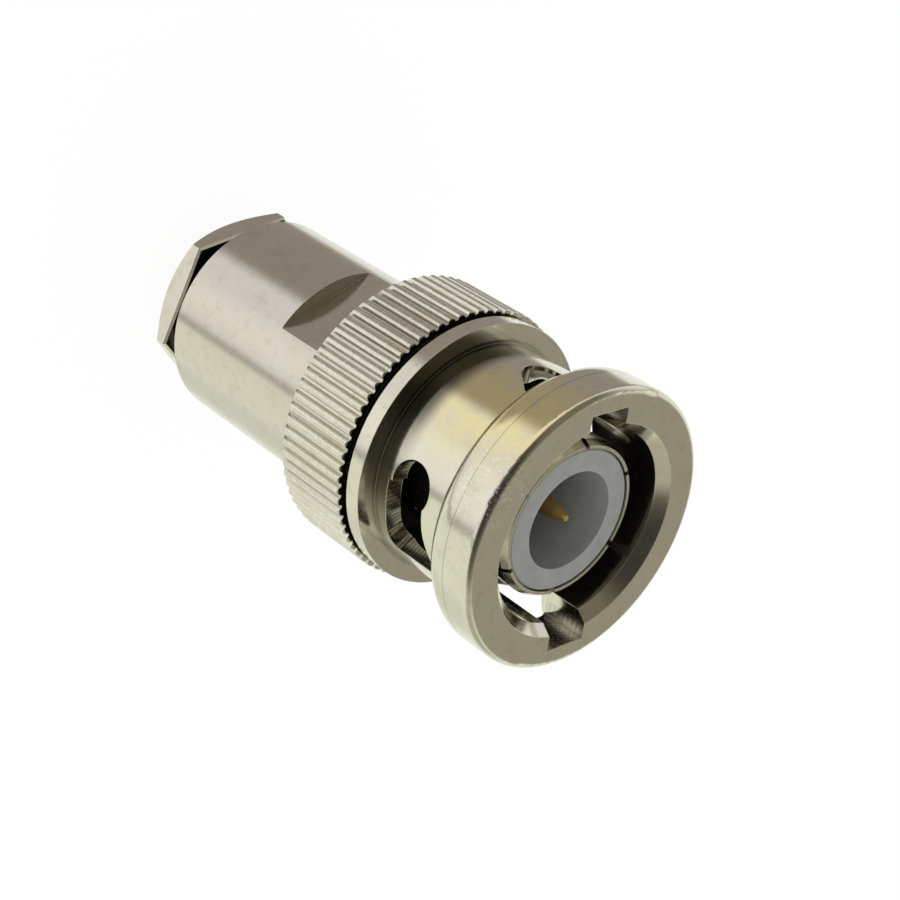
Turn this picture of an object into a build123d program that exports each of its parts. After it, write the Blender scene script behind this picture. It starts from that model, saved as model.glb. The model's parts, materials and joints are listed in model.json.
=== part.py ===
"""Cable plug with a bayonet coupling and a clamp nut, in millimetres.

The plug stands on the rear face of its clamp nut. Z runs along its axis, from the rear face of the
nut at 0 to the mating end. The wrench flats of the body face along X. Depths are measured from the
front face of the coupling sleeve towards the rear.
"""
import os

from build123d import *
from math import cos, pi, radians, sin

# Coupling sleeve, outside
flange_radius = 7.15
flange_cylinder_depth = 1.9
face_rounding = 0.35
neck_radius = 5.85
neck_start_depth = 3.3
ring_face_depth = 8.0
rim_radius = 6.85
rim_length = 0.85
undercut_radius = 6.3
undercut_length = 0.35
knurl_radius = 7.1
knurl_length = 4.45
knurl_teeth = 72
tooth_depth = 0.22
rear_tooth_chamfer = 0.25
front_tooth_chamfer = 0.06

# Coupling sleeve, inside
coupling_bore_radius = 4.95
mouth_radius = 5.42
mouth_depth = 0.55
chamber_radius = 5.9
chamber_front_depth = 10.1
lip_thickness = 0.7

# Lug notches, cam grooves and cam windows
lug_reach_radius = 6.1
notch_width = 2.3
notch_depth = 3.35
coupling_turn_at_rest = -21.7
groove_reach_radius = 5.62
groove_start_depth = 4.2
groove_start_radius = 1.15
entry_opening_depth = 3.925
entry_opening_shift = 0.175
entry_opening_length = 1.29
entry_opening_width = 2.1
entry_opening_lean = 54.5
detent_turn = -98.7
detent_depth = 5.77
detent_radius = 1.22
window_step_radius = 5.35
# Turn from the notch, and the depths of the groove's front and rear walls
groove_sections = [
    (3, 3.05, 5.35),
    (-16, 3.6, 5.85),
    (-34, 4.25, 6.4),
    (-50, 4.55, 6.65),
    (-62, 4.65, 6.75),
]
# Turn from the notch, and the depths of the window's inner front, outer front and rear walls
window_sections = [
    (-57, 4.6, 4.2, 6.8),
    (-60, 4.6, 3.97, 7.15),
    (-66, 4.7, 4.1, 7.3),
    (-72, 4.75, 4.35, 7.25),
    (-78, 4.8, 4.55, 7.2),
    (-84, 4.85, 4.69, 7.2),
    (-90, 4.9, 4.77, 7.2),
    (-96, 4.95, 4.85, 7.2),
]

# Clearances between pieces
running_clearance = 0.08
seat_gap = 0.02
body_gap = 0.05
insulator_clearance = 0.02
stack_clearance = 0.15

# Front shell with the outer contact
contact_tip_depth = 1.1
contact_radius = 4.0
contact_nose_length = 0.35
contact_land_length = 0.85
contact_taper_length = 0.8
finger_radius = 3.9
finger_tip_wall = 0.15
finger_bore_radius = 3.65
finger_slits = 6
slit_width = 0.26
slit_turn = -25.0
slit_length = 6.4
shell_flange_thickness = 0.85
shank_radius = 4.32
tail_radius = 3.9
tail_length = 3.3
tail_bore_radius = 3.0
shoulder_thickness = 0.6

# Spring washers and seals
washer_thickness = 0.2
wave_strip_thickness = 0.15
wave_space = 1.13
wave_count = 3
wave_steps = 8
washer_outer_clearance = 0.33
gasket_thickness = 0.75
gasket_outer_clearance = 0.15

# Insulators and centre contact
insulator_setback = 0.05
insulator_bore_radius = 2.5
insulator_bore_depth = 7.7
insulator_rear_length = 3.2
pin_radius = 0.675
pin_tip_depth = 1.36
pin_tip_radius = 0.14
pin_shoulder_radius = 0.34
pin_shoulder_length = 0.55
pin_point_length = 2.6
pin_clearance = 0.04
pot_radius = 1.12
pot_length = 3.8
pot_bore_radius = 0.55
pot_bore_length = 2.9
solder_hole_radius = 0.35
bead_length = 2.9
bead_hole_radius = 0.8

# Rear body
body_radius = 5.48
body_length = 11.41
wrench_flat_distance = 4.7
wrench_flat_length = 4.08
web_thickness = 0.8
web_bore_radius = 2.2
body_edge_chamfer = 0.12

# Clamp nut and the stack that it presses
thread_radius = 4.5
thread_pitch = 0.75
nut_gap = 0.98
hexagon_length = 1.3
hexagon_across_flats = 9.38
hexagon_turn = 19.0
hexagon_chamfer_radius = 4.69
hexagon_chamfer_rise = 0.88
hexagon_edge_break = 0.12
relief_length = 0.35
nose_reach = 3.06
cable_bore_radius = 2.7
cable_bore_chamfer = 0.35
slip_washer_thickness = 0.4
slip_washer_bore_radius = 2.9
cable_gasket_length = 2.35
gasket_bore_radius = 2.5
groove_depth = 0.65
groove_radius = 3.5
groove_half_width = 0.65
braid_bore_radius = 1.9
braid_clamp_length = 1.25

# Levels along the axis, worked out from the sizes above
hexagon_front = hexagon_length
body_rear = hexagon_front + nut_gap
body_front = body_rear + body_length
ring_rear = body_front + body_gap
knurl_front = ring_rear + knurl_length
ring_face = knurl_front + undercut_length + rim_length
front_face = ring_face + ring_face_depth
lip_front = ring_rear + lip_thickness
chamber_front = front_face - chamber_front_depth
thread_depth = 0.6 * thread_pitch
nose_front = body_rear + nose_reach
washer_outer_radius = chamber_radius - washer_outer_clearance
washer_base = lip_front + seat_gap
wave_base = washer_base + washer_thickness
seat_base = wave_base + wave_space
shell_flange_rear = seat_base + washer_thickness
shell_flange_front = shell_flange_rear + shell_flange_thickness
contact_tip = front_face - contact_tip_depth
insulator_front = contact_tip - insulator_setback
insulator_shoulder = shell_flange_rear + shoulder_thickness
insulator_bore_end = insulator_front - insulator_bore_depth
insulator_rear = insulator_shoulder - insulator_rear_length
tail_rear = body_front - tail_length
web_rear = tail_rear - web_thickness
pot_front = insulator_rear + pot_length / 2


def half_plane(turn):
    """The plane through the axis at an angle, with x outwards and y up."""
    angle = radians(turn)
    return Plane(
        origin=(0, 0, 0),
        x_dir=(cos(angle), sin(angle), 0),
        z_dir=(sin(angle), -cos(angle), 0),
    )


def turned(points):
    """A solid of revolution about Z from radius and height pairs."""
    outline = Polyline(*points, close=True)
    return revolve(Plane.XZ * make_face(outline), Axis.Z)


def tube(outer, inner, low, high):
    """A plain ring between two heights."""
    return turned([(inner, low), (outer, low), (outer, high), (inner, high)])


def radial_pin(radius, turn, height, reach):
    """A round cutter that points outwards from the axis."""
    angle = radians(turn)
    way = (cos(angle), sin(angle), 0)
    return extrude(Plane(origin=(0, 0, height), z_dir=way) * Circle(radius), reach)


def polar(radius, turn):
    """A point on a circle round the axis."""
    return (radius * cos(radians(turn)), radius * sin(radians(turn)))


def knurled_band():
    """The toothed band: rounded crests with narrow valleys, chamfered at both ends."""
    pitch = 360 / knurl_teeth
    valley = 0.11 * pitch
    root = knurl_radius - tooth_depth
    edges = []
    for tooth in range(knurl_teeth):
        middle = tooth * pitch
        start = polar(root, middle - pitch / 2 + valley)
        left = polar(knurl_radius - tooth_depth * 0.22, middle - 0.24 * pitch)
        crest = polar(knurl_radius, middle)
        right = polar(knurl_radius - tooth_depth * 0.22, middle + 0.24 * pitch)
        end = polar(root, middle + pitch / 2 - valley)
        following = polar(root, middle + pitch / 2 + valley)
        edges += [Line(start, left), ThreePointArc(left, crest, right), Line(right, end)]
        edges.append(Line(end, following))
    outline = make_face(Wire(edges))
    band = extrude(Pos(0, 0, ring_rear) * outline, knurl_length)
    limits = turned([
        (chamber_radius, ring_rear),
        (knurl_radius - rear_tooth_chamfer, ring_rear),
        (knurl_radius + 0.01, ring_rear + rear_tooth_chamfer),
        (knurl_radius + 0.01, knurl_front - front_tooth_chamfer),
        (knurl_radius - front_tooth_chamfer, knurl_front),
        (chamber_radius, knurl_front),
    ])
    return band & limits


def lug_groove(turn):
    """The blind groove that leads a lug from its notch to the window, under the neck's skin."""
    inner = coupling_bore_radius - 0.9
    width = groove_reach_radius - inner
    sections = []
    for offset, front_depth, rear_depth in groove_sections:
        middle = front_face - (front_depth + rear_depth) / 2
        place = half_plane(turn + offset) * Pos(inner + width / 2, middle)
        sections.append(place * Rectangle(width, rear_depth - front_depth))
    start = radial_pin(
        groove_start_radius, turn, front_face - groove_start_depth, groove_reach_radius)
    lead = Pos(groove_reach_radius / 2, 0, front_face - groove_start_depth / 2) * Box(
        groove_reach_radius, notch_width, groove_start_depth)
    return loft(sections) + start + Rot(0, 0, turn) * lead


def cam_window(turn):
    """The window through the neck, with a relieved front wall and the round detent at its end."""
    inner = coupling_bore_radius - 0.9
    sections = []
    for offset, inner_front, outer_front, rear in window_sections:
        outline = Polyline(
            (inner, front_face - inner_front),
            (window_step_radius, front_face - inner_front),
            (window_step_radius, front_face - outer_front),
            (lug_reach_radius, front_face - outer_front),
            (lug_reach_radius, front_face - rear),
            (inner, front_face - rear),
            close=True,
        )
        sections.append(half_plane(turn + offset) * make_face(outline))
    detent = radial_pin(
        detent_radius, turn + detent_turn, front_face - detent_depth, lug_reach_radius)
    return loft(sections) + detent


def entry_opening(turn):
    """The slanting opening that the cutter leaves where a notch meets its groove."""
    angle = radians(turn)
    place = Plane(
        origin=(0, 0, front_face - entry_opening_depth),
        x_dir=(-sin(angle), cos(angle), 0),
        z_dir=(cos(angle), sin(angle), 0),
    )
    shape = Pos(entry_opening_shift, 0) * SlotCenterToCenter(
        entry_opening_length, entry_opening_width, rotation=entry_opening_lean)
    return extrude(place * shape, flange_radius + 1)


def lug_notch(turn):
    """The straight notch in the flange through which a lug enters."""
    notch = Pos(lug_reach_radius / 2, 0, front_face - notch_depth / 2) * Box(
        lug_reach_radius, notch_width, notch_depth + 0.002)
    return Rot(0, 0, turn) * notch


def coupling_sleeve():
    """The sleeve that locks the plug: flange, neck with cam slots, rim and knurled ring."""
    rounding = neck_start_depth - flange_cylinder_depth
    flange_end = front_face - flange_cylinder_depth
    neck_start = front_face - neck_start_depth
    corner = (
        neck_radius + (flange_radius - neck_radius) * cos(pi / 4),
        flange_end - rounding * sin(pi / 4),
    )
    edge = face_rounding * (1 - cos(pi / 4))
    outside = [
        Line((coupling_bore_radius, front_face - mouth_depth), (mouth_radius, front_face)),
        Line((mouth_radius, front_face), (flange_radius - face_rounding, front_face)),
        ThreePointArc(
            (flange_radius - face_rounding, front_face),
            (flange_radius - edge, front_face - edge),
            (flange_radius, front_face - face_rounding),
        ),
        Line((flange_radius, front_face - face_rounding), (flange_radius, flange_end)),
        ThreePointArc((flange_radius, flange_end), corner, (neck_radius, neck_start)),
        Line((neck_radius, neck_start), (neck_radius, ring_face)),
        Line((neck_radius, ring_face), (rim_radius, ring_face)),
        Line((rim_radius, ring_face), (rim_radius, ring_face - rim_length)),
        Line((rim_radius, ring_face - rim_length), (undercut_radius, ring_face - rim_length)),
        Line((undercut_radius, ring_face - rim_length), (undercut_radius, ring_rear)),
        Line((undercut_radius, ring_rear), (shank_radius + running_clearance, ring_rear)),
        Line((shank_radius + running_clearance, ring_rear), (shank_radius + running_clearance, lip_front)),
        Line((shank_radius + running_clearance, lip_front), (chamber_radius, lip_front)),
        Line((chamber_radius, lip_front), (chamber_radius, chamber_front)),
        Line((chamber_radius, chamber_front), (coupling_bore_radius, chamber_front)),
        Line((coupling_bore_radius, chamber_front), (coupling_bore_radius, front_face - mouth_depth)),
    ]
    sleeve = revolve(Plane.XZ * make_face(Wire(outside)), Axis.Z)
    sleeve += knurled_band()
    for turn in (coupling_turn_at_rest, coupling_turn_at_rest + 180):
        sleeve -= lug_notch(turn)
        sleeve -= lug_groove(turn)
        sleeve -= entry_opening(turn)
        sleeve -= cam_window(turn)
    return sleeve


def front_shell():
    """The outer contact with its slit fingers, the flange and the tail in one turned piece."""
    land_front = contact_tip - contact_nose_length
    land_rear = land_front - contact_land_length
    shell = turned([
        (finger_bore_radius, contact_tip),
        (finger_bore_radius + finger_tip_wall, contact_tip),
        (contact_radius, land_front),
        (contact_radius, land_rear),
        (finger_radius, land_rear - contact_taper_length),
        (finger_radius, shell_flange_front),
        (chamber_radius - running_clearance, shell_flange_front),
        (chamber_radius - running_clearance, shell_flange_rear),
        (shank_radius, shell_flange_rear),
        (shank_radius, body_front),
        (tail_radius, body_front),
        (tail_radius, tail_rear),
        (tail_bore_radius, tail_rear),
        (tail_bore_radius, insulator_shoulder),
        (finger_bore_radius, insulator_shoulder),
    ])
    slit_middle = contact_tip - slit_length / 2
    for finger in range(finger_slits):
        slit = Pos(finger_radius, 0, slit_middle) * Box(
            4 * (contact_radius - finger_bore_radius), slit_width, slit_length + 0.01)
        turn = slit_turn + finger * 360 / finger_slits
        shell -= Rot(0, 0, turn) * slit
        shell -= radial_pin(slit_width / 2, turn, contact_tip - slit_length, contact_radius + 0.3)
    return shell


def rear_body():
    """The round body: wrench flats at the front, the nut's thread at the rear."""
    body = turned([
        (thread_radius + body_edge_chamfer, body_rear),
        (body_radius - body_edge_chamfer, body_rear),
        (body_radius, body_rear + body_edge_chamfer),
        (body_radius, body_front - body_edge_chamfer),
        (body_radius - body_edge_chamfer, body_front),
        (tail_radius, body_front),
        (tail_radius, tail_rear),
        (web_bore_radius, tail_rear),
        (web_bore_radius, web_rear),
        (thread_radius, web_rear),
        (thread_radius, body_rear + body_edge_chamfer),
    ])
    thickness = body_radius
    for side in (1, -1):
        place = Pos(
            side * (wrench_flat_distance + thickness / 2), 0, body_front - wrench_flat_length / 2)
        body -= place * Box(thickness, 2 * body_radius + 1, wrench_flat_length + 0.001)
    return body


def front_insulator():
    """The insulator inside the fingers, bored round the pin."""
    outer = finger_bore_radius - insulator_clearance
    tail = tail_bore_radius - insulator_clearance
    return turned([
        (insulator_bore_radius, insulator_front),
        (outer - 0.1, insulator_front),
        (outer, insulator_front - 0.1),
        (outer, insulator_shoulder),
        (tail, insulator_shoulder),
        (tail, insulator_rear),
        (pot_radius + pin_clearance, insulator_rear),
        (pot_radius + pin_clearance, pot_front),
        (pin_radius + pin_clearance, pot_front),
        (pin_radius + pin_clearance, insulator_bore_end),
        (insulator_bore_radius, insulator_bore_end),
    ])


def centre_contact():
    """The pin with its point, and the solder pot with a side hole."""
    pin_tip = front_face - pin_tip_depth
    pot_rear = pot_front - pot_length
    contact = turned([
        (0, pin_tip),
        (pin_tip_radius, pin_tip),
        (pin_shoulder_radius, pin_tip - pin_shoulder_length),
        (pin_radius, pin_tip - pin_point_length),
        (pin_radius, pot_front),
        (pot_radius, pot_front),
        (pot_radius, pot_rear),
        (pot_bore_radius, pot_rear),
        (pot_bore_radius, pot_rear + pot_bore_length),
        (0, pot_rear + pot_bore_length),
    ])
    window = radial_pin(solder_hole_radius, 0, pot_rear + pot_bore_length / 2, 2 * pot_radius)
    return contact - window


def rear_insulator():
    """The bead behind the contact, with a seat for the end of the solder pot."""
    outer = tail_bore_radius - insulator_clearance
    pot_rear = pot_front - pot_length
    bead_rear = insulator_rear - bead_length
    return turned([
        (pot_radius + pin_clearance, insulator_rear),
        (outer, insulator_rear),
        (outer, bead_rear),
        (bead_hole_radius, bead_rear),
        (bead_hole_radius, pot_rear),
        (pot_radius + pin_clearance, pot_rear),
    ])


def wave_washer(low, first_turn):
    """A sprung washer: a flat strip bent into waves round the axis, one loft to each wave."""
    rise = (wave_space / 2 - wave_strip_thickness) / 2
    middle = low + wave_space / 4
    inner = shank_radius + stack_clearance
    width = washer_outer_radius - inner
    span = 360 / wave_count
    sections = []
    for step in range(wave_steps + 1):
        share = step / wave_steps
        height = middle + rise * sin(2 * pi * share)
        place = half_plane(share * span) * Pos(inner + width / 2, height)
        sections.append(place * Rectangle(width, wave_strip_thickness))
    wave = loft(sections)
    strip = wave
    for copy in range(1, wave_count):
        strip += Rot(0, 0, copy * span) * wave
    return Rot(0, 0, first_turn) * strip


def braid_clamp():
    """The ferrule that the braid is folded over, with the ridge that bites the gasket."""
    outer = thread_radius - stack_clearance
    high = web_rear - seat_gap
    low = high - braid_clamp_length
    ridge = groove_depth - seat_gap
    return turned([
        (braid_bore_radius, high),
        (outer, high),
        (outer, low),
        (groove_radius + groove_half_width, low),
        (groove_radius, low - ridge),
        (groove_radius - groove_half_width, low),
        (braid_bore_radius, low),
    ])


def cable_gasket():
    """The rubber ring round the cable's jacket, with a V groove in its front face."""
    low = nose_front + seat_gap + slip_washer_thickness
    high = low + cable_gasket_length
    return turned([
        (gasket_bore_radius, low),
        (thread_radius - stack_clearance, low),
        (thread_radius - stack_clearance, high),
        (groove_radius + groove_half_width, high),
        (groove_radius, high - groove_depth),
        (groove_radius - groove_half_width, high),
        (gasket_bore_radius, high),
    ])


def slip_washer():
    """The flat washer between the nut's nose and the gasket."""
    low = nose_front + seat_gap
    return tube(
        thread_radius - stack_clearance, slip_washer_bore_radius,
        low, low + slip_washer_thickness)


def clamp_nut():
    """The nut: hexagon, thread relief, nose for the thread and the bore for the cable."""
    nose_radius = thread_radius - running_clearance
    hexagon = extrude(
        Rot(0, 0, hexagon_turn) * RegularPolygon(hexagon_across_flats / 2, 6, major_radius=False),
        hexagon_front)
    hexagon = chamfer(hexagon.edges().group_by(Axis.Z)[-1], hexagon_edge_break)
    corner_radius = hexagon_across_flats / 2 / cos(pi / 6)
    slope = (corner_radius - hexagon_chamfer_radius) * hexagon_chamfer_rise
    blank = turned([
        (0, 0),
        (hexagon_chamfer_radius, 0),
        (corner_radius + 0.01, slope),
        (corner_radius + 0.01, hexagon_front),
        (0, hexagon_front),
    ])
    nose = turned([
        (0, hexagon_front),
        (nose_radius - thread_depth, hexagon_front),
        (nose_radius - thread_depth, hexagon_front + relief_length),
        (nose_radius, hexagon_front + relief_length + thread_depth),
        (nose_radius, nose_front - thread_depth),
        (nose_radius - thread_depth, nose_front),
        (0, nose_front),
    ])
    bore = turned([
        (0, 0),
        (cable_bore_radius + cable_bore_chamfer, 0),
        (cable_bore_radius, cable_bore_chamfer),
        (cable_bore_radius, nose_front),
        (0, nose_front),
    ])
    return (hexagon & blank) + nose - bore


def build_nodes():
    """Every piece of the plug by its node name."""
    return {
        "coupling_sleeve": coupling_sleeve(),
        "front_shell": front_shell(),
        "rear_body": rear_body(),
        "front_insulator": front_insulator(),
        "rear_insulator": rear_insulator(),
        "centre_contact": centre_contact(),
        "front_gasket": tube(
            coupling_bore_radius - gasket_outer_clearance, finger_radius,
            shell_flange_front, shell_flange_front + gasket_thickness),
        "spring_seat": tube(
            washer_outer_radius, shank_radius + running_clearance,
            seat_base, shell_flange_rear),
        "wave_washer_front": wave_washer(wave_base + wave_space / 2, 180 / wave_count),
        "wave_washer_rear": wave_washer(wave_base, 0),
        "thrust_washer": tube(
            washer_outer_radius, shank_radius + running_clearance,
            washer_base, wave_base),
        "braid_clamp": braid_clamp(),
        "cable_gasket": cable_gasket(),
        "slip_washer": slip_washer(),
        "clamp_nut": clamp_nut(),
    }


def main():
    os.makedirs("parts", exist_ok=True)
    for name, shape in build_nodes().items():
        export_step(shape, f"parts/{name}.step")


main()
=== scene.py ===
"""Looks of the bayonet cable plug: materials, nut thread, floor, light and camera.

Lengths are in millimetres and angles in degrees, apart from what Blender itself is given.
"""
import bmesh
import bpy
import json
from math import cos, pi, radians, sin
from mathutils import Matrix, Vector


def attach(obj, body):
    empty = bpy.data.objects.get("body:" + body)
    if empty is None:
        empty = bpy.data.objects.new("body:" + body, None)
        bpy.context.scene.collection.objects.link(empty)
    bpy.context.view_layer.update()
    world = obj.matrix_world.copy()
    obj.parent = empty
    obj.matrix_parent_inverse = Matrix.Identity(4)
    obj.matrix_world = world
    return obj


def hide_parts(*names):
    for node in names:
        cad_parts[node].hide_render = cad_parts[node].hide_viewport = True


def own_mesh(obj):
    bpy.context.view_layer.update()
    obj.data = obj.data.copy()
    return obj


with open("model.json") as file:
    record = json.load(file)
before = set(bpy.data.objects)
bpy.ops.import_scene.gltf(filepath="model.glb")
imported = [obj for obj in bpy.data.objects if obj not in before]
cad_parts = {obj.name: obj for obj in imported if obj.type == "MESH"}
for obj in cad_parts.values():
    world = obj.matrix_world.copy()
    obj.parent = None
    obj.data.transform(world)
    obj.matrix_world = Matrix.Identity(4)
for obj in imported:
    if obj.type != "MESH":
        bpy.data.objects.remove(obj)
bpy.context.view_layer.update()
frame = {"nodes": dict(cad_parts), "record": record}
nodes = frame["nodes"]
scene = bpy.context.scene
scene.view_settings.view_transform = "Standard"

MM = 0.001
UP = Vector((0, 0, 1))


# Node helpers
class Graph:
    """Adds nodes to a tree and links what it is given."""

    def __init__(self, tree):
        self.tree = tree
        tree.nodes.clear()

    def add(self, kind, values=None, **settings):
        node = self.tree.nodes.new(kind)
        for name, value in settings.items():
            setattr(node, name, value)
        for key, value in (values or {}).items():
            socket = node.inputs[key]
            if isinstance(value, bpy.types.NodeSocket):
                self.tree.links.new(value, socket)
            else:
                socket.default_value = value
        return node

    def math(self, operation, *values, clamp=False):
        inputs = dict(enumerate(values))
        return self.add("ShaderNodeMath", inputs, operation=operation, use_clamp=clamp).outputs[0]

    def product(self, first, *others):
        for other in others:
            first = self.math("MULTIPLY", first, other)
        return first

    def total(self, first, *others):
        for other in others:
            first = self.math("ADD", first, other)
        return first

    def vector(self, operation, a, b):
        return self.add("ShaderNodeVectorMath", {0: a, 1: b}, operation=operation)

    def dot(self, vector, direction):
        return self.vector("DOT_PRODUCT", vector, direction).outputs["Value"]

    def split(self, vector):
        return self.add("ShaderNodeSeparateXYZ", {"Vector": vector}).outputs

    def ramp(self, value, low, high, start=0.0, end=1.0):
        """Smooth change from start to end as value goes from low to high."""
        inputs = {"Value": value, "From Min": low, "From Max": high, "To Min": start, "To Max": end}
        return self.add("ShaderNodeMapRange", inputs, interpolation_type="SMOOTHSTEP").outputs["Result"]

    def band(self, value, low, high, soft):
        """1 between two values, 0 outside them."""
        rise = self.ramp(value, low - soft, low + soft)
        fall = self.ramp(value, high - soft, high + soft, 1.0, 0.0)
        return self.product(rise, fall)

    def spot(self, place, centre, radius):
        """1 near a point, fading to 0 at the radius."""
        away = self.vector("DISTANCE", place, centre).outputs["Value"]
        return self.ramp(away, radius * 0.2, radius, 1.0, 0.0)

    def mix(self, factor, a, b):
        inputs = {"Factor": factor, "A": a, "B": b}
        return self.add("ShaderNodeMix", inputs, data_type="RGBA").outputs["Result"]

    def noise(self, vector, scale, detail=2.0, roughness=0.5, distortion=0.0):
        inputs = {
            "Vector": vector, "Scale": scale, "Detail": detail, "Roughness": roughness,
            "Distortion": distortion,
        }
        return self.add("ShaderNodeTexNoise", inputs).outputs["Fac"]


def material(name):
    made = bpy.data.materials.new(name)
    made.use_nodes = True
    return made, Graph(made.node_tree)


def colour(r, g, b):
    return (r, g, b, 1.0)


def tinted(base, r, g, b):
    """The base colour with each channel multiplied by its own share."""
    return colour(base[0] * r, base[1] * g, base[2] * b)


def millimetres(g):
    """The object's own coordinates in millimetres."""
    place = g.add("ShaderNodeTexCoord").outputs["Object"]
    return g.add("ShaderNodeVectorMath", {0: place, "Scale": 1 / MM}, operation="SCALE").outputs["Vector"]


def turned_coordinates(g, place):
    """Radius and height of a point, as a vector that is the same all the way round the axis."""
    x, y, z = g.split(place)
    radius = g.math("SQRT", g.total(g.product(x, x), g.product(y, y)))
    return g.add("ShaderNodeCombineXYZ", {"X": radius, "Y": z}).outputs["Vector"]


def sideways(turn):
    """The unit vector across the axis at a turn round it."""
    return Vector((cos(radians(turn)), sin(radians(turn)), 0.0))


def around_axis(radius, turn, height):
    return sideways(turn) * radius + UP * height


def surface(g, values):
    shader = g.add("ShaderNodeBsdfPrincipled", values)
    g.add("ShaderNodeOutputMaterial", {"Surface": shader.outputs[0]})


# Finishes
line_depth = 0.02
tool_mark_depth = 0.05
occlusion_dark = 0.15
occlusion_open = 0.6


def paint_hollow_shade(g, tone, shade, reach):
    """Painted shade: darkens the tone in narrow places, where light is lost."""
    openness = g.add("ShaderNodeAmbientOcclusion", {"Distance": reach * MM}, samples=6).outputs["AO"]
    return g.mix(g.ramp(openness, occlusion_dark, occlusion_open, 1.0, 0.0), tone, shade)


def metal_surface(g, tone, dull, height, bump, bevel, samples):
    """Ends a metal's graph with turned lines and edges rounded by the bevel."""
    edge = g.add("ShaderNodeBevel", {"Radius": bevel * MM}, samples=samples).outputs["Normal"]
    lines = g.add(
        "ShaderNodeBump", {"Strength": bump, "Distance": line_depth * MM, "Height": height, "Normal": edge},
    )
    surface(g, {"Base Color": tone, "Metallic": 1.0, "Roughness": dull, "Normal": lines.outputs["Normal"]})


def nickel(name, base, roughness, bevel=0.05, marks=None, shade=0.25, reach=0.7):
    """Bright nickel plate over turned brass: turning lines, soft edges, stains, specks and painted shade in
    hollows.

    Marks is a function for what one piece has besides, painted light among it, and shade is the share of
    the tone that is left as painted shade in hollows narrower than the reach.
    """
    made, g = material(name)
    place = millimetres(g)
    around = turned_coordinates(g, place)
    cloud = g.ramp(g.noise(place, 0.55, 3.0, 0.55), 0.35, 0.7, 0.0, 0.35)
    patches = g.ramp(g.noise(place, 1.6, 4.0, 0.65, 0.4), 0.5, 0.72, 0.0, 0.35)
    specks = g.ramp(g.noise(place, 9.0, 2.0, 0.5), 0.66, 0.72)
    tone = g.mix(cloud, base, tinted(base, 0.93, 0.9, 0.78))
    tone = g.mix(patches, tone, tinted(base, 0.7, 0.66, 0.58))
    tone = g.mix(g.product(specks, 0.125), tone, colour(0.9, 0.9, 0.88))
    grain = g.ramp(g.noise(place, 18.0, 2.0, 0.6), 0.3, 0.75, roughness - 0.03, roughness + 0.05)
    dull = g.total(grain, g.product(specks, 0.1))
    lines = g.noise(around, 14.0, 3.0, 0.6)
    fine_lines = g.noise(around, 45.0, 1.0)
    height = g.total(g.product(lines, 0.7), g.product(fine_lines, 0.3))
    if marks:
        tone, dull, height = marks(g, place, around, tone, dull, height)
    # Painted shade: the tone darkens towards its shade share in hollows narrower than the reach.
    tone = paint_hollow_shade(g, tone, tinted(base, shade, shade, shade), reach)
    metal_surface(g, tone, dull, height, bump=0.02, bevel=bevel, samples=6)
    return made


def plain_metal(name, base, roughness):
    """Metal with faint turning lines and a slight change of tone."""
    made, g = material(name)
    place = millimetres(g)
    grain = g.noise(turned_coordinates(g, place), 20.0, 2.0, 0.6)
    dull = g.ramp(grain, 0.3, 0.7, roughness - 0.04, roughness + 0.06)
    cloud = g.ramp(g.noise(place, 1.1), 0.3, 0.7, 0.0, 0.4)
    tone = g.mix(cloud, base, tinted(base, 0.9, 0.86, 0.78))
    metal_surface(g, tone, dull, grain, bump=0.05, bevel=0.03, samples=4)
    return made


def soft_solid(name, base, roughness, variation, subsurface=0.0):
    """Turned plastic or rubber: faint tool marks and a slight change of tone."""
    made, g = material(name)
    place = millimetres(g)
    lines = g.noise(turned_coordinates(g, place), 9.0, 3.0, 0.6)
    cloud = g.noise(place, 1.3, 3.0, 0.6)
    left = 1 - variation
    bump = g.add("ShaderNodeBump", {"Strength": 0.05, "Distance": tool_mark_depth * MM, "Height": lines})
    surface(g, {
        "Base Color": g.mix(g.ramp(cloud, 0.3, 0.7), base, tinted(base, left, left, left)),
        "Roughness": g.ramp(cloud, 0.2, 0.8, roughness - 0.05, roughness + 0.08),
        "Subsurface Weight": subsurface,
        "Subsurface Radius": (1.2 * MM, 1.1 * MM, 1.0 * MM),
        "Subsurface Scale": 1.0,
        "Normal": bump.outputs["Normal"],
    })
    return made


# Places on the coupling sleeve that its marks and painted light need
flange_radius = 7.15
front_face = 27.35
neck_radius = 5.85
neck_foot = 20.35
neck_clear = 21.3
knurl_span = (13.7, 18.25)
knurl_crest = (6.93, 7.04)
undercut_span = (18.2, 18.55)
seam_span = (25.69, 25.73)
notch_turn = -21.7
notch_half_width = (1.1, 1.17)
notch_radii = (5.5, 6.13)
notch_span = (23.4, 27.33)
slot_span = (19.6, 24.1)
slot_radii = (5.0, 5.8)


def painted_yellow_highlight(g, place, high, tone):
    """Painted yellow highlight on one side of the flange and the neck, but not on the front face."""
    flange = g.spot(place, around_axis(flange_radius, 10.0, 26.2), 4.0)
    neck = g.spot(place, around_axis(neck_radius, 10.0, 22.4), 3.8)
    both = g.math("ADD", flange, neck, clamp=True)
    uneven = g.ramp(g.noise(place, 1.1, 2.0, 0.5), 0.25, 0.55, 0.5, 1.0)
    behind_face = g.ramp(high, front_face - 0.2, front_face, 1.0, 0.0)
    return g.mix(g.product(both, uneven, behind_face), tone, colour(0.89, 0.81, 0.46))


def neck_foot_shade(g, place, radius, high, tone):
    """Painted shade at the foot of the neck, most of it on one side."""
    foot = g.ramp(high, neck_foot, neck_clear, 0.9, 0.0)
    on_neck = g.ramp(radius, neck_radius + 0.1, neck_radius + 0.25, 1.0, 0.0)
    one_side = g.ramp(g.dot(place, sideways(2.0)), 4.0, 5.6, 0.3, 1.0)
    return g.mix(g.product(foot, on_neck, one_side), tone, colour(0.11, 0.105, 0.08))


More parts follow.
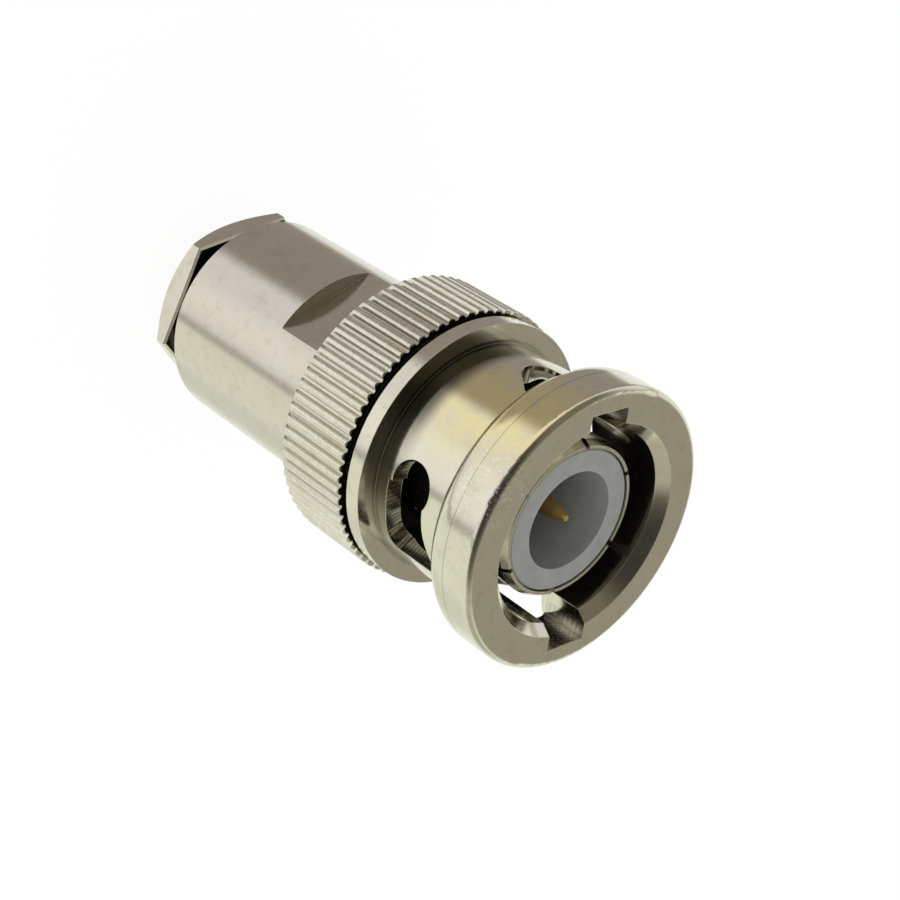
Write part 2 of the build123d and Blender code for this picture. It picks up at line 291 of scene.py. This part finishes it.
def worn_knurl(g, place, radius, high, tone, dull):
    """Bright, rubbed crests on the knurled ring."""
    crest = g.product(g.band(high, *knurl_span, 0.05), g.ramp(radius, *knurl_crest))
    worn = g.product(crest, g.ramp(g.noise(place, 3.2, 4.0, 0.7), 0.45, 0.62))
    tone = g.mix(g.product(worn, 0.6), tone, colour(0.93, 0.92, 0.88))
    return tone, g.total(dull, g.product(worn, 0.18))


def rubbed_rim(g, place, tone, dull):
    """White scratches on the flange's front edge."""
    stretched = g.vector("MULTIPLY", place, (8.5, 8.5, 3.6)).outputs["Vector"]
    scratches = g.ramp(g.noise(stretched, 1.0, 3.0, 0.7), 0.57, 0.63)
    rubbed = g.product(g.spot(place, around_axis(flange_radius, 38.0, 26.6), 3.4), scratches)
    tone = g.mix(g.product(rubbed, 0.7), tone, colour(0.97, 0.97, 0.95))
    return tone, g.total(dull, g.product(rubbed, 0.25))


def notch_marks_and_shade(g, place, radius, high, tone):
    """Cutter marks inside the two lug notches, plainest in the lower one, over painted shade across the
    whole inside of both.
    """
    across = g.dot(place, sideways(notch_turn + 90))
    in_width = g.ramp(g.math("ABSOLUTE", across), *notch_half_width, 1.0, 0.0)
    inside = g.product(in_width, g.band(radius, *notch_radii, 0.03), g.band(high, *notch_span, 0.04))
    lower = g.ramp(g.dot(place, sideways(notch_turn)), -1.0, 1.0, 1.0, 0.0)
    slant = g.total(high, g.product(across, 0.7))
    waves = g.math("SINE", g.product(slant, 21.0))
    waves = g.total(waves, g.product(g.noise(place, 5.0, 2.0), 1.2))
    marks = g.product(inside, lower, g.ramp(waves, 0.3, 1.1, 0.0, 0.75))
    tone = g.mix(marks, tone, colour(0.16, 0.145, 0.11))
    # Painted shade over the whole inside of the notches.
    return g.mix(g.product(inside, 0.6), tone, colour(0.24, 0.20, 0.17))


def slot_wall_shade(g, place, radius, high, tone):
    """Painted shade on the walls of the cam slots, broken into upright ribs."""
    walls = g.product(g.band(high, *slot_span, 0.05), g.band(radius, *slot_radii, 0.03))
    x, y, _ = g.split(place)
    ribs = g.math("SINE", g.product(g.math("ARCTAN2", y, x), 150.0))
    ribs = g.ramp(g.total(ribs, g.noise(place, 6.0, 2.0)), 0.0, 1.0, 0.35, 0.8)
    return g.mix(g.product(walls, ribs), tone, colour(0.17, 0.165, 0.14))


def sleeve_marks_and_light(g, place, around, tone, dull, height):
    """Wear and painted light of the coupling sleeve: a painted yellow highlight, painted shade at the foot
    of the neck, in the undercut, the notches and the slots, and the fine line round the flange.
    """
    radius, high, _ = g.split(around)
    tone = painted_yellow_highlight(g, place, high, tone)
    tone = neck_foot_shade(g, place, radius, high, tone)
    tone, dull = worn_knurl(g, place, radius, high, tone, dull)
    # Painted shade: the undercut at the front end of the knurl is darkened nearly to black.
    undercut_shade = g.product(g.band(high, *undercut_span, 0.03), g.ramp(radius, 6.5, 6.75, 1.0, 0.0))
    tone = g.mix(g.product(undercut_shade, 0.9), tone, colour(0.03, 0.028, 0.022))
    seam = g.product(g.band(high, *seam_span, 0.02), g.ramp(radius, 7.0, 7.1))
    tone = g.mix(g.product(seam, 0.55), tone, colour(0.12, 0.11, 0.09))
    tone, dull = rubbed_rim(g, place, tone, dull)
    tone = notch_marks_and_shade(g, place, radius, high, tone)
    tone = slot_wall_shade(g, place, radius, high, tone)
    return tone, dull, g.math("SUBTRACT", height, seam)


def nut_shade_and_highlight(g, place, around, tone, dull, height):
    """Painted shade on the hexagon's front face and above it, and a painted highlight along the edge round
    the face.
    """
    radius, high, _ = g.split(around)
    shadow = g.product(g.ramp(high, 1.285, 1.298), g.ramp(high, 1.9, 2.4, 1.0, 0.25))
    tone = g.mix(g.product(shadow, 0.93), tone, colour(0.035, 0.034, 0.034))
    # Painted highlight: a bright, rougher band along the edge round the hexagon's front face.
    edge = g.product(g.band(high, 1.19, 1.29, 0.008), g.ramp(radius, 4.4, 4.5))
    tone = g.mix(edge, tone, colour(0.98, 0.97, 0.80))
    return tone, g.total(dull, g.product(edge, 0.45)), height


finishes = {
    "nickel_sleeve": nickel("sleeve plate", colour(0.745, 0.72, 0.645), 0.13, marks=sleeve_marks_and_light),
    # The shell's hollows take deep painted shade over a long reach.
    "nickel_shell": nickel("shell plate", colour(0.74, 0.72, 0.67), 0.16, shade=0.12, reach=1.4),
    "nickel_body": nickel("body plate", colour(0.70, 0.665, 0.62), 0.15, bevel=0.04),
    "nickel_nut": nickel(
        "nut plate", colour(0.71, 0.68, 0.61), 0.14, bevel=0.03, marks=nut_shade_and_highlight, shade=0.12,
    ),
    # Painted shade: the insulator's base colour is darkened to the grey it shows in shade.
    "insulator": soft_solid("turned insulator in painted shade", colour(0.255, 0.26, 0.24), 0.42, 0.12, subsurface=0.1),
    "gold": plain_metal("gold plate", colour(0.86, 0.55, 0.17), 0.2),
    # Painted shade: the silicone is made near black so that the gasket seen in the opening reads as shade.
    "silicone": soft_solid("silicone as painted shade", colour(0.035, 0.03, 0.027), 0.5, 0.15),
    "spring_steel": plain_metal("spring steel", colour(0.56, 0.55, 0.52), 0.25),
}
slots = {row["node"]: row["material_slot"] for row in frame["record"]["subparts"]}
for name, piece in nodes.items():
    piece.data.materials.clear()
    piece.data.materials.append(finishes[slots[name]])


# Nut with its thread
thread_pitch = 0.75
crest_radius = 4.43
root_radius = 3.97
flank_slope = 1.25
root_flat = 0.12
relief_end = 1.65
nose_start = 1.3
nose_end = 5.34
nose_inside = 3.85
nose_margin = 0.01
end_band = 0.02
weld_distance = 0.0001
sharp_angle = 20.0
columns = 96
rings = 144


def thread_radius(turn, height):
    """The thread's radius at a turn and a height, with a run-in and a run-out at 45 degrees."""
    share = (height / thread_pitch - turn / 360) % 1.0
    rise = min(max(abs(2 * share - 1) * flank_slope - root_flat, 0.0), 1.0)
    radius = root_radius + (crest_radius - root_radius) * rise
    run_in = root_radius + max(height - relief_end, 0.0)
    run_out = root_radius + max(nose_end - height, 0.0)
    return min(radius, run_in, run_out)


def is_nose(face):
    """True for the plain outer faces of the nose, which the thread takes the place of."""
    nearest = min(vertex.co.xy.length for vertex in face.verts)
    highest = max(vertex.co.z for vertex in face.verts)
    return nearest > nose_inside * MM and highest > (nose_start + nose_margin) * MM


def threaded_nut(source):
    """The nut's own mesh with a cut thread in place of its plain nose."""
    shape = bmesh.new()
    shape.from_mesh(source)
    bmesh.ops.remove_doubles(shape, verts=shape.verts, dist=weld_distance * MM)
    bmesh.ops.delete(shape, geom=[face for face in shape.faces if is_nose(face)], context="FACES")
    rims = [edge for edge in shape.edges if edge.is_boundary]
    low, high = nose_start + end_band, nose_end - end_band
    rows = []
    for ring in range(rings + 1):
        height = low + (high - low) * ring / rings
        turns = [360 * column / columns for column in range(columns)]
        points = [around_axis(thread_radius(turn, height), turn, height) * MM for turn in turns]
        rows.append([shape.verts.new(point) for point in points])
    for lower, upper in zip(rows, rows[1:]):
        for column in range(columns):
            after = (column + 1) % columns
            shape.faces.new((lower[column], lower[after], upper[after], upper[column]))
    middle = (nose_start + nose_end) / 2 * MM
    for row, is_front in ((rows[0], False), (rows[-1], True)):
        rim = [edge for edge in rims if (edge.verts[0].co.z > middle) == is_front]
        ends = [shape.edges.get((row[column - 1], row[column])) for column in range(columns)]
        bmesh.ops.bridge_loops(shape, edges=rim + ends)
    bmesh.ops.recalc_face_normals(shape, faces=shape.faces)
    for face in shape.faces:
        face.smooth = True
    for edge in shape.edges:
        edge.smooth = edge.calc_face_angle(pi) < radians(sharp_angle)
    mesh = bpy.data.meshes.new("threaded nut")
    shape.to_mesh(mesh)
    shape.free()
    if "custom_normal" in mesh.attributes:
        mesh.attributes.remove(mesh.attributes["custom_normal"])
    return mesh


nut_mesh = threaded_nut(nodes["clamp_nut"].data)
nut_mesh.materials.clear()
nut_mesh.materials.append(finishes["nickel_nut"])
nut = bpy.data.objects.new("threaded_nut", nut_mesh)
scene.collection.objects.link(nut)
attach(nut, "nut")
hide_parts("clamp_nut")

# Wave washers, copied onto the plug body with meshes of their own
for name in ("wave_washer_rear", "wave_washer_front"):
    waves = bpy.data.objects.new("sprung_" + name, nodes[name].data.copy())
    scene.collection.objects.link(waves)
    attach(waves, "plug_body")
    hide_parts(name)
    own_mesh(waves)


# World: white behind the object, and a plain studio for what it reflects. Upright walls show the
# camera what lies at the wall elevation, and the front faces show it the face azimuth and elevation.
white = colour(1.0, 1.0, 1.0)
wall_elevation = -38.8
face_azimuth = 212.6
face_elevation = 38.8
studio_turn = 171.0


def direction(azimuth, elevation):
    return sideways(azimuth) * cos(radians(elevation)) + UP * sin(radians(elevation))


def lobe(g, way, azimuth, elevation, radius, softness):
    """1 inside a cone round a direction, 0 outside."""
    near = g.dot(way, direction(azimuth, elevation))
    return g.ramp(near, cos(radians(radius + softness)), cos(radians(radius - softness)))


def reflected_room(g, way):
    """What bright metal shows: pale sides with a dark gap, and dark panels above and below."""

    def patch(room, azimuth, elevation, radius, softness, tone):
        return g.mix(lobe(g, way, azimuth, elevation, radius, softness), room, tone)

    facing = g.dot(way, direction(studio_turn, 0.0))
    room = g.mix(g.ramp(facing, -0.05, 0.05), colour(0.88, 0.86, 0.84), colour(0.90, 0.93, 0.79))
    room = patch(room, 158.0, wall_elevation, 12.0, 10.0, colour(0.78, 0.80, 0.70))
    room = patch(room, 52.0, wall_elevation, 12.0, 9.0, colour(1.03, 1.01, 0.93))
    room = patch(room, -122.0, wall_elevation, 16.0, 9.0, colour(0.95, 0.95, 0.90))
    room = patch(room, 150.0, 12.0, 22.0, 12.0, colour(0.50, 0.49, 0.38))
    gap = g.ramp(g.math("ABSOLUTE", facing), 0.02, 0.085, 1.0, 0.0)
    room = g.mix(g.product(gap, 0.8), room, colour(0.42, 0.38, 0.33))
    room = patch(room, -55.0, wall_elevation, 35.5, 5.5, colour(0.34, 0.305, 0.275))
    upper = g.product(g.ramp(g.dot(way, UP), 0.0, 0.35), lobe(g, way, 20.0, 45.0, 80.0, 20.0))
    room = g.mix(upper, room, colour(0.19, 0.17, 0.12))
    room = patch(room, 50.0, 45.0, 36.0, 20.0, colour(0.035, 0.033, 0.026))
    return patch(room, face_azimuth, face_elevation, 24.0, 10.0, colour(0.36, 0.34, 0.272))


def make_world():
    world = bpy.data.worlds.new("studio")
    world.use_nodes = True
    g = Graph(world.node_tree)
    way = g.add("ShaderNodeTexCoord").outputs["Generated"]
    path = g.add("ShaderNodeLightPath").outputs
    brighter_side = g.ramp(g.dot(way, direction(105.0, 15.0)), -0.9, 0.9, 0.6, 1.45)
    soft = g.add("ShaderNodeBackground", {"Color": white, "Strength": brighter_side}).outputs[0]
    studio = g.add("ShaderNodeBackground", {"Color": reflected_room(g, way), "Strength": 1.0}).outputs[0]
    blank = g.add("ShaderNodeBackground", {"Color": white, "Strength": 1.0}).outputs[0]
    lit = g.add("ShaderNodeMixShader", {0: path["Is Glossy Ray"], 1: soft, 2: studio}).outputs[0]
    seen = g.math("ADD", path["Is Camera Ray"], path["Is Transmission Ray"], clamp=True)
    whole = g.add("ShaderNodeMixShader", {0: seen, 1: lit, 2: blank}).outputs[0]
    g.add("ShaderNodeOutputWorld", {"Surface": whole})
    return world


scene.world = make_world()

# Floor, just below where the nut's rear face comes when it is unscrewed
floor_level = -2.7
floor_half_side = 600.0
floor_whiteness = 0.93


def floor_material():
    """Pale and matt, and nearly white where it is seen, so that it keeps a faint shadow."""
    made, g = material("pale floor")
    path = g.add("ShaderNodeLightPath").outputs
    matt = g.add("ShaderNodeBsdfDiffuse", {"Color": colour(0.95, 0.95, 0.95)}).outputs[0]
    glow = g.add("ShaderNodeEmission", {"Color": white, "Strength": 1.0}).outputs[0]
    seen = g.math("ADD", path["Is Camera Ray"], path["Is Transmission Ray"])
    seen = g.product(g.math("ADD", seen, path["Is Glossy Ray"], clamp=True), floor_whiteness)
    both = g.add("ShaderNodeMixShader", {0: seen, 1: matt, 2: glow}).outputs[0]
    g.add("ShaderNodeOutputMaterial", {"Surface": both})
    return made


reach = floor_half_side * MM
corners = [(-reach, -reach, 0), (reach, -reach, 0), (reach, reach, 0), (-reach, reach, 0)]
floor_mesh = bpy.data.meshes.new("floor")
floor_mesh.from_pydata(corners, [], [(0, 1, 2, 3)])
floor_mesh.materials.append(floor_material())
floor = bpy.data.objects.new("floor", floor_mesh)
floor.location = (0, 0, floor_level * MM)
floor.visible_glossy = False
scene.collection.objects.link(floor)

# Camera, fitted to the photograph
view_azimuth = 32.612
view_elevation = 38.758
view_centre = Vector((-0.163, 0.254, 18.162))
view_distance = 90.743
view_roll = 123.345


def make_camera():
    data = bpy.data.cameras.new("camera")
    data.sensor_width = 36.0
    data.lens = 75.4
    data.clip_start = 0.001
    data.clip_end = 10.0
    look = -direction(view_azimuth, view_elevation)
    level = look.cross(UP).normalized()
    upward = level.cross(look)
    roll = radians(view_roll)
    right = level * cos(roll) + upward * sin(roll)
    top = upward * cos(roll) - level * sin(roll)
    axes = Matrix((right, top, -look)).transposed().to_4x4()
    camera = bpy.data.objects.new("camera", data)
    camera.matrix_world = Matrix.Translation((view_centre - look * view_distance) * MM) @ axes
    scene.collection.objects.link(camera)
    return camera


scene.camera = make_camera()
